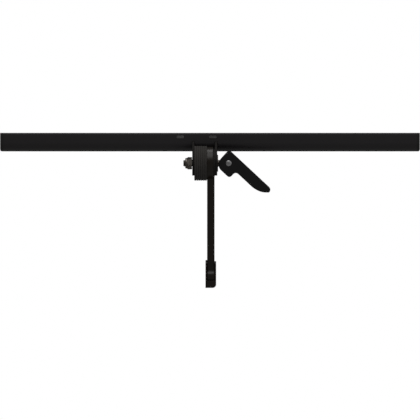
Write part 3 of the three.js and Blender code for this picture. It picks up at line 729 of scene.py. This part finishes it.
def make_drum():
    """A core with flat-topped ribs round its rim, and its recess for the friction washer."""
    low, high = corners("hinge_drum")
    radius = (high.z - low.z) / 2
    ribs, depth, groove, sunk = 6, 0.6, 0.7, 0.6
    root = radius - depth
    washer_low, washer_high = corners("drum_washer")
    seat = (washer_high.z - washer_low.z) / 2 + CLEARANCE
    floor = washer_low.x - WASHER_GAP
    start, end = low.x - CLEARANCE, high.x + 0.1
    core = [(start, BOLT_BORE), (start, root), (end, root), (end, seat), (floor, seat), (floor, BOLT_BORE)]
    drum = turned("drum_core", core, "x", HINGE_CENTRE, 128)
    fitted(drum, "lamp", RUBBER, "hinge_drum", slot="ribbed_rubber")
    pitch = (end - start) / ribs
    tree = Tree(
        "drum_ribs",
        Ribs=ribs,
        First=Vector((start + pitch / 2, 0, HINGE.z)) * MM,
        Pitch=Vector((pitch, 0, 0)) * MM,
        Reach=(root - sunk) * MM,
        Width=(pitch - groove * 0.5) * MM,
        Height=(depth + sunk) * 2 * MM,
        Rounding=0.35 * MM,
    )
    given, node = tree.given, tree.node
    places = node("GeometryNodeMeshLine", Count=given("Ribs"), Start_Location=given("First"),
                  Offset=given("Pitch"))
    path = node("GeometryNodeCurvePrimitiveCircle", Resolution=128, Radius=given("Reach"))
    flat = node("GeometryNodeCurvePrimitiveQuadrilateral", Width=given("Height"), Height=given("Width"))
    edge = node("GeometryNodeFilletCurve", {"mode": "POLY"}, Curve=flat, Count=4, Radius=given("Rounding"))
    rib = node("GeometryNodeCurveToMesh", Curve=path, Profile_Curve=edge)
    turn = node("GeometryNodeTransform", Geometry=rib, Rotation=(0, math.pi / 2, 0))
    placed = node("GeometryNodeInstanceOnPoints", Points=places, Instance=turn)
    fitted(tree.piece("drum_ribs", placed, RUBBER), "lamp", RUBBER, slot="ribbed_rubber", crease=60)


def make_cap_screws():
    """Countersunk screws with a cross recess, one shape put at each place."""
    low, high = corners("end_cap_screw_1")
    point, shank, head, head_height = 0.5, 1.1, 2.1, 1.0
    profile = [(low.z, 0), (low.z, point), (low.z + 0.8, shank)]
    profile += [(high.z - head_height, shank), (high.z, head), (high.z, 0)]
    screw = turned("screw_shape", profile, "z", (0, 0, 0), 40)
    long, narrow, deep = 1.25, 0.24, 0.9
    for run, rise in ((long, narrow), (narrow, long)):
        cut(screw, box("slot", (-run, -rise, high.z - deep), (run, rise, high.z + 1)))
    spots = [(corners(f"end_cap_screw_{n}")[0] + corners(f"end_cap_screw_{n}")[1]) / 2 for n in (1, 2, 3, 4)]
    host = made("spots", [(p.x, p.y, 0) for p in spots], [])
    tree = Tree("cap_screws", Screw=screw, Places=host)
    places = tree.node("GeometryNodeObjectInfo", output="Geometry", Object=tree.given("Places"))
    single = tree.node("GeometryNodeObjectInfo", output="Geometry", Object=tree.given("Screw"))
    placed = tree.node("GeometryNodeInstanceOnPoints", Points=places, Instance=single)
    screws = tree.piece("cap_screws", placed, DARK_STEEL)
    for tool in (screw, host):
        bpy.data.objects.remove(tool)
    nodes = [f"end_cap_screw_{n}" for n in (1, 2, 3, 4)]
    fitted(screws, "lamp", DARK_STEEL, *nodes, slot="dark_steel")


def make_leds():
    """Twelve packages in a row: a white body, with its round phosphor window in a second row."""
    nodes = [f"led_{n:02d}" for n in range(1, 13)]
    low, high = corners(nodes[0])
    last = corners(nodes[-1])
    middle = (low + high) / 2
    pitch = ((last[0].x + last[1].x) / 2 - middle.x) / (len(nodes) - 1)
    size = high - low
    window_radius, window_depth = size.x * 0.4, 0.1
    rows = [
        ("led_packages", BOARD, "GeometryNodeMeshCube", 0.0, "board_white", nodes),
        ("led_windows", PHOSPHOR, "GeometryNodeMeshCylinder", size.y * 0.5, "led_face", []),
    ]
    for name, material, kind, forward, slot, stands_for in rows:
        tree = Tree(
            name,
            Count=len(nodes),
            First=Vector((middle.x, middle.y + forward, middle.z)) * MM,
            Pitch=Vector((pitch, 0, 0)) * MM,
        )
        count, first, pitch_input = tree.given("Count"), tree.given("First"), tree.given("Pitch")
        places = tree.node("GeometryNodeMeshLine", Count=count, Start_Location=first, Offset=pitch_input)
        if kind.endswith("Cube"):
            shape_made = tree.node(kind, Size=size * MM)
        else:
            disc = tree.node(kind, Vertices=32, Radius=window_radius * MM, Depth=window_depth * MM)
            shape_made = tree.node("GeometryNodeTransform", Geometry=disc, Rotation=(math.pi / 2, 0, 0))
        placed = tree.node("GeometryNodeInstanceOnPoints", Points=places, Instance=shape_made)
        fitted(tree.piece(name, placed, material), "lamp", material, *stands_for, slot=slot)


# ---- Hinge ----


def make_yoke():
    """The plate inside the bar with the two cheeks that the bolt goes through."""
    low, high = corners("yoke_bracket")
    start = (low.x, FRONT + WALL + CLEARANCE, HINGE.z + YOKE_PLATE_RISE)
    plate = box("yoke", start, (high.x, high.y, high.z))
    for left, right in CHEEKS:
        join(plate, prism("cheek", "x", cheek_outline(), left, right, edge=0.3))
    cut(plate, rod("bore", "x", low.x - 1, high.x + 1, BOLT_BORE, HINGE_CENTRE))
    for place in bracket_screws():
        cut(plate, rod("hole", "y", low.y - 1, high.y + 1, BRACKET_HOLE, place, 32))
    fitted(plate, "lamp", YOKE_COAT, "yoke_bracket", slot="black_steel")


def make_ring(name, node, material, slot, body="lamp", edge=0.2, bore=BOLT_BORE, reach=(0, 0)):
    """A washer or bush the size of its CAD node and its reach each way, with its rims eased."""
    low, high = corners(node)
    low.x, high.x = low.x - reach[0], high.x + reach[1]
    centre = (0, (low.y + high.y) / 2, (low.z + high.z) / 2)
    outer = (high.z - low.z) / 2
    middle = ((low.x + high.x) / 2, outer)
    profile = [middle, (high.x, outer), (high.x, bore), (low.x, bore), (low.x, outer), middle]
    ring = turned(name, rounded(profile, edge)[:-1], "x", centre)
    fitted(ring, body, material, node, slot=slot)


def thread(name, low, high, radius, pitch, centre):
    """A threaded rod along X: a cylinder whose radius follows the helix, faded at both ends, with
    its tip chamfered."""
    depth, crest, chamfer, chamfer_run = pitch * 0.54, 1.25, 0.7, 1.2
    steps, sides = 10, 72
    rows = max(2, round((high - low) / pitch * steps))
    points, faces = [], []
    for row in range(rows + 1):
        x = low + (high - low) * row / rows
        fade = min(1.0, (x - low) / pitch, (high - x) / pitch)
        for side in range(sides):
            turn = (x / pitch + side / sides) % 1.0
            ridge = 1 - abs(2 * turn - 1)
            r = radius - depth * (1 - min(1.0, ridge * crest)) * max(fade, 0.0)
            r -= chamfer * max(0.0, 1 - (x - low) / chamfer_run)
            angle = 2 * math.pi * side / sides
            points.append((x, centre[1] + r * math.cos(angle), centre[2] + r * math.sin(angle)))
    for row in range(rows):
        for side in range(sides):
            following = (side + 1) % sides
            a, b = row * sides, (row + 1) * sides
            faces.append((a + side, a + following, b + following, b + side))
    faces.append(tuple(range(sides)))
    faces.append(tuple(range(rows * sides, (rows + 1) * sides)))
    return made(name, points, faces)


def make_bolt():
    """The hinge's bolt: thread, plain shank, and an eye for the lever's pin."""
    low, high = corners("hinge_bolt")
    nut_right, pitch, shank = corners("lock_nut")[1].x, 1.25, BOLT_RADIUS - 0.02
    bolt = thread("hinge_rod", low.x, nut_right + 1.5, BOLT_RADIUS, pitch, HINGE_CENTRE)
    join(bolt, rod("shank", "x", nut_right + 1.0, LEVER_AXIS.x - 3, shank, HINGE_CENTRE, 72))
    eye_radius = high.x - LEVER_AXIS.x
    half = high.y
    profile = rounded([(-half, 0), (-half, eye_radius), (half, eye_radius), (half, 0)], 0.6)
    eye = turned("eye", profile, "y", (LEVER_AXIS.x, 0, HINGE.z), 72)
    join(bolt, eye)
    cut(bolt, rod("bore", "y", -2 * half, 2 * half, PIN_BORE, (LEVER_AXIS.x, 0, HINGE.z)))
    fitted(bolt, "lamp", ZINC, "hinge_bolt", slot="zinc_steel")


def make_nut():
    """A lock nut: chamfered hexagon, and a round collar closed over its nylon ring."""
    low, high = corners("lock_nut")
    flats, turn = 13.0, 0.30
    tip = flats / math.sqrt(3)
    collar, shoulder = 6.2, low.x + 2.2
    angles = [turn + math.pi / 3 * i for i in range(6)]
    hexagon = [(tip * math.cos(angle), HINGE.z + tip * math.sin(angle)) for angle in angles]
    nut = prism("hinge_nut", "x", hexagon, low.x + 1.6, high.x)
    cone = [(low.x, 0), (low.x, collar), (shoulder, collar + 0.1), (shoulder + 1.0, tip)]
    cone += [(high.x - 0.25, tip), (high.x, tip - 0.3), (high.x, 0)]
    shape(nut, "INTERSECT", turned("cone", cone, "x", HINGE_CENTRE, 96))
    rim = rounded([(low.x + 2.4, 0), (low.x + 2.4, collar), (low.x, collar), (low.x, 0)], 0.9, 5)
    join(nut, turned("collar", rim, "x", HINGE_CENTRE, 96))
    nylon = corners("nylon_ring")
    seat = (nylon[1].z - nylon[0].z) / 2 + 0.1
    cut(nut, rod("bore", "x", low.x - 1, high.x + 1, BOLT_RADIUS + 0.1, HINGE_CENTRE, 72))
    cut(nut, rod("seat", "x", nylon[0].x - 0.1, nylon[1].x + 0.1, seat, HINGE_CENTRE, 72))
    mouth = [(low.x - 1, 0), (low.x - 1, 5.6), (low.x + 0.7, 4.6), (low.x + 0.7, 0)]
    cut(nut, turned("mouth", mouth, "x", HINGE_CENTRE, 72))
    fitted(eased(nut, 0.12), "lamp", ZINC, "lock_nut", slot="zinc_steel")


# ---- Arm and foot ----

SCOOP_GAP = 0.03
FOOT_SCREW_HALF_SPACING = 5.6
FOOT_SCREW_BORE = 1.65


def make_arm():
    """The arm tapers to its lower eye, and a scoop in its shoulder clears the cheek's washer."""
    low, high = corners("arm")
    washer = corners("cheek_washer")
    eye_right = washer[0].x - WASHER_GAP
    eye_radius = high.z - HINGE.z
    foot_radius = FOOT_AXIS.z - low.z
    top, bottom, shoulder = 7.0, 4.55, 13.0
    meet = math.degrees(math.asin(bottom / foot_radius))
    outline = arc(0, FOOT_AXIS.z, foot_radius, 90 + meet, 450 - meet, 40)
    outline += [(top, HINGE.z - shoulder), (-top, HINGE.z - shoulder)]
    arm = prism("cast_arm", "x", outline, low.x, high.x, edge=0.8)
    radius = (washer[1].z - washer[0].z) / 2 + SCOOP_GAP
    cut(arm, rod("scoop", "x", eye_right, high.x + 1, radius, HINGE_CENTRE, 96))
    left = low.x - 0.2
    profile = rounded([(left, 0), (left, eye_radius), (eye_right, eye_radius), (eye_right, 0)], 0.5)
    join(arm, turned("eye", profile, "x", HINGE_CENTRE, 128))
    bush = corners("hinge_bush")
    cut(arm, rod("bore", "x", low.x - 1, high.x + 1, (bush[1].z - bush[0].z) / 2 + 0.1, HINGE_CENTRE))
    bush = corners("foot_bush")
    radius = (bush[1].z - bush[0].z) / 2 + 0.1
    cut(arm, rod("bore", "x", low.x - 1, high.x + 1, radius, FOOT_CENTRE))
    fitted(arm, "arm", COAT, "arm", slot="black_steel")


def make_foot():
    """The fork and its pin: the fork's floor comes up to the arm's round end."""
    low, high = corners("foot_fork")
    left, right = corners("arm")[0].x, corners("arm")[1].x
    floor, drop, bend = 8.6, 1.4, 4.2
    outline = [(low.x, 0)] + arc(high.x - bend, bend, bend, -90, 0, 14)
    outline += [(high.x, high.z - drop), (right, high.z - drop), (right, floor), (left, floor)]
    outline += [(left, high.z), (low.x, high.z)]
    fork = prism("fork_foot", "y", outline, low.y, high.y, edge=0.45)
    top = 6.0
    side = [(low.y, 0), (high.y, 0)] + arc(high.y - top, high.z - top, top, 0, 90, 14)
    side += arc(low.y + top, high.z - top, top, 90, 180, 14)
    trim = prism("side", "x", side, low.x, high.x, edge=0.4)
    shape(fork, "INTERSECT", trim)
    head, neck = 4.25, high.x - 0.9
    pin = [(low.x - 1, 0), (low.x - 1, head), (low.x + 0.05, head), (-neck, PIN_BORE), (neck, PIN_BORE)]
    pin += [(high.x - 0.05, head), (high.x + 1, head), (high.x + 1, 0)]
    cut(fork, turned("pin_hole", pin, "x", FOOT_CENTRE, 64))
    scoop = FOOT_AXIS.z - corners("arm")[0].z + SCOOP_GAP
    cut(fork, rod("scoop", "x", left, right, scoop, FOOT_CENTRE, 96))
    for y in (-FOOT_SCREW_HALF_SPACING, FOOT_SCREW_HALF_SPACING):
        cut(fork, rod("hole", "z", -1, floor, FOOT_SCREW_BORE, (0, y, 0), 32))
    fitted(fork, "foot", COAT, "foot_fork", slot="black_steel")
    make_foot_pin()


def make_foot_pin():
    """A pin with a flared head at each end and a dimple in each head."""
    low, high = corners("foot_pin")
    head, shank, flare = 4.05, 3.0, 0.85
    profile = rounded([
        (low.x, 0),
        (low.x, head),
        (low.x + flare, shank),
        (high.x - flare, shank),
        (high.x, head),
        (high.x, 0),
    ], 0.15)
    pin = turned("fork_pin", profile, "x", FOOT_CENTRE, 64)
    depth, radius = 0.35, 1.4
    for end in (low.x, high.x):
        cut(pin, rod("dimple", "x", end - depth, end + depth, radius, FOOT_CENTRE, 40))
    fitted(pin, "foot", DARK_STEEL, "foot_pin", slot="dark_steel")


# ---- Lever ----

LEVER_TURN = math.radians(43)
LEVER_TO_ROOT = Matrix.Translation(LEVER_AXIS * MM) @ Matrix.Rotation(LEVER_TURN, 4, "Y")


def lever_outline():
    """The lever's side in its own (X, Z), with its pin at 0, 0 and its handle along +X."""
    back, end, tip, side, head, inner = 12.3, -10.7, 58.9, -12.3, 12.9, -1.6
    straight, tip_round, head_round, notch_round, corner = 40.3, 5.0, 4.1, 4.8, 1.1
    fullness = 2.3  # of the cam: 2 is a quarter ellipse, and more fills its corner
    steps = 24
    outline = []
    for i in range(steps + 1):
        turn = math.pi / 2 * i / steps
        outline.append((end * math.cos(turn) ** (2 / fullness), side * math.sin(turn) ** (2 / fullness)))
    outline += curve((head - head_round, side), (head, side), (head, side + head_round))
    outline += curve((head, inner - notch_round), (head, inner), (head + notch_round, inner))
    outline += curve((straight, inner), (tip - 7.1, -0.3), (tip - 3.2, 4.2), (tip, back - tip_round))
    outline += curve((tip, back - tip_round), (tip, back), (tip - tip_round, back))[1:]
    return outline + [(end + corner, back), (end, back - corner)]


def make_lever():
    """The cam lever, slotted over the bolt's eye, and its pin with two domed heads."""
    half = corners("cam_lever")[1].y
    lever = prism("quick_lever", "y", lever_outline(), -half, half, edge=1.3, steps=5)
    slot_end, slot_half = 6.4, 4.3
    cut(lever, box("slot", (-16, -slot_half, -17), (slot_end, slot_half, slot_end)))
    cut(lever, rod("bore", "y", -2 * half, 2 * half, PIN_BORE))
    face, dome, shank, steps = half + 0.15, 3.6, 3.0, 8
    rise = corners("lever_pin")[1].y - face + 0.3
    profile = []
    for i in range(steps + 1):
        a = math.pi / 2 * i / steps
        profile.append((-face - rise * math.cos(a), dome * math.sin(a)))
    profile += [(-face, shank)]
    mirrored = [(-run, radius) for run, radius in reversed(profile)]
    pin = turned("lever_cross_pin", profile + mirrored, "y", (0, 0, 0), 72)
    for piece in (lever, pin):
        piece.data.transform(LEVER_TO_ROOT)
    fitted(lever, "lever", LEVER_PLASTIC, "cam_lever", slot="black_plastic")
    fitted(pin, "lever", BRIGHT, "lever_pin", slot="bright_steel")


# ---- CAD pieces that keep their own shape ----

KEPT = {
    "diffuser": OPAL,
    "led_board": BOARD,
    "driver_board": CIRCUIT,
    "driver_coil": COPPER,
    "driver_capacitor": INLET_PLASTIC,
    "driver_chip": INLET_PLASTIC,
    "link_pin_1": BRIGHT,
    "link_pin_2": BRIGHT,
    "lead_positive": RED_SLEEVE,
    "lead_negative": BLACK_SLEEVE,
    "bracket_screw_1": ZINC,
    "bracket_screw_2": ZINC,
}


def finish_kept():
    """Gives each CAD piece that is seen as it is its material."""
    for node, material in KEPT.items():
        mesh = frame["nodes"][node].data
        mesh.materials.clear()
        mesh.materials.append(material)


# ---- Stage, light and camera ----


FLOOR_REACH = 6000
FLOOR_HEIGHT = -160
FLOOR_GLOW = 0.72
FLOOR_SEEN_NEAR = 0.39
FLOOR_SEEN_FAR = 0.05
SURROUND_ABOVE = 0.08
SURROUND_IN_FRONT = 0.20
MIRRORED_SHARE = 0.08  # how much of the white background a mirror ray sees
LAMP_AIM = Vector((0, 0, 0.12))
LAMPS = [  # name, place and diameter in metres, power
    ("key", (-0.10, -0.62, 1.15), 0.90, 4.6),
    ("fill", (0.95, -0.60, 0.45), 0.70, 1.2),
    ("top", (0.00, 0.10, 1.15), 0.45, 1.8),
    ("rear", (-0.35, 1.30, 0.40), 0.80, 3.0),
]
VIEW_DISTANCE = 1500
VIEW_BELOW_TOP = 91.85


def make_stage():
    """A floor well below the foot: nearly white to the eye, with its shadow kept, and dim to the
    surfaces, the more so behind the light."""
    reach, height = FLOOR_REACH, FLOOR_HEIGHT
    sides = [(-reach, -reach), (reach, -reach), (reach, reach), (-reach, reach)]
    spots = [(x, y, height) for x, y in sides]
    floor = made("floor", spots, [(0, 1, 2, 3)])
    material = bpy.data.materials.new("pale_floor")
    material.use_nodes = True
    tree = material.node_tree
    shader = tree.nodes["Principled BSDF"]
    shader.inputs["Roughness"].default_value = 1.0
    shader.inputs["Specular IOR Level"].default_value = 0.0
    shader.inputs["Emission Strength"].default_value = FLOOR_GLOW
    camera = add(tree, "ShaderNodeLightPath", {}, output="Is Camera Ray")
    level = camera * 0.8 + 0.08
    tree.links.new(level.socket, shader.inputs["Base Color"])
    place = add(tree, "ShaderNodeTexCoord", {}, output="Object")
    away = add(tree, "ShaderNodeSeparateXYZ", {}, place, output="Y")
    dimmer = away.ramp(0.0, 0.8) * (FLOOR_SEEN_NEAR - FLOOR_SEEN_FAR)
    glow = camera + (1 - camera) * (FLOOR_SEEN_NEAR - dimmer)
    tree.links.new(glow.socket, shader.inputs["Emission Color"])
    floor.data.materials.append(material)


def make_light():
    """White to the eye and dim to the surfaces, but for a share that mirror rays see: brighter above
    and in front, dark behind. Four soft lamps light the rest."""
    world = bpy.data.worlds.new("surround")
    bpy.context.scene.world = world
    world.use_nodes = True
    tree = world.node_tree
    tree.nodes.clear()
    place = add(tree, "ShaderNodeTexCoord", {}, output="Generated")
    up = add(tree, "ShaderNodeSeparateXYZ", {}, place, output="Z")
    behind = add(tree, "ShaderNodeSeparateXYZ", {}, place, output="Y")
    front = 1 - behind.ramp(-0.3, 0.4)
    around = up.ramp(-0.1, 0.9) * SURROUND_ABOVE + front * up.ramp(-0.9, 0.0) * SURROUND_IN_FRONT
    camera = add(tree, "ShaderNodeLightPath", {}, output="Is Camera Ray")
    through = add(tree, "ShaderNodeLightPath", {}, output="Is Transmission Ray")
    mirrored = add(tree, "ShaderNodeLightPath", {}, output="Is Glossy Ray") * MIRRORED_SHARE
    seen = camera.math("MAXIMUM", through).math("MAXIMUM", mirrored)
    background = add(tree, "ShaderNodeBackground", {}, (1, 1, 1, 1), seen + (1 - seen) * around)
    add(tree, "ShaderNodeOutputWorld", {}, background, output=None)
    for name, spot, size, power in LAMPS:
        data = bpy.data.lights.new(name, "AREA")
        data.shape, data.size, data.energy = "DISK", size, power
        lamp = bpy.data.objects.new(name, data)
        lamp.location = spot
        aim = LAMP_AIM - Vector(spot)
        lamp.rotation_euler = aim.to_track_quat("-Z", "Y").to_euler()
        bpy.context.scene.collection.objects.link(lamp)


def make_camera():
    """Straight on from the front, with the bar filling the frame's width."""
    data = bpy.data.cameras.new("camera")
    data.type = "ORTHO"
    data.ortho_scale = (BAR_RIGHT - BAR_LEFT) * MM
    camera = bpy.data.objects.new("camera", data)
    camera.location = Vector(((BAR_LEFT + BAR_RIGHT) / 2, -VIEW_DISTANCE, TOP - VIEW_BELOW_TOP)) * MM
    camera.rotation_euler = (math.pi / 2, 0, 0)
    bpy.context.scene.collection.objects.link(camera)
    bpy.context.scene.camera = camera
    bpy.context.scene.view_settings.view_transform = "Standard"


make_camera()
make_light()
make_stage()
make_bar()
make_plug(1)
make_plug(2)
make_end_cap(-1)
make_end_cap(1)
make_inlet()
make_cap_screws()
make_leds()
make_yoke()
make_drum()
make_ring("friction_washer_drum", "drum_washer", FRICTION, "dark_steel")
washer_reach = (WASHER_GAP, WASHER_GAP)
make_ring("friction_washer_cheek", "cheek_washer", FRICTION, "dark_steel", edge=0.05, reach=washer_reach)
make_ring("lever_washer", "cam_washer", DARK_STEEL, "dark_steel", edge=0.12, reach=(0.10, 0))
make_ring("nut_nylon", "nylon_ring", NYLON, "nylon", bore=4.12)
make_ring("upper_bush", "hinge_bush", BRONZE, "bronze", "arm", bore=4.15)
make_ring("lower_bush", "foot_bush", BRONZE, "bronze", "arm", bore=PIN_BORE)
make_bolt()
make_nut()
make_arm()
make_foot()
make_lever()
finish_kept()
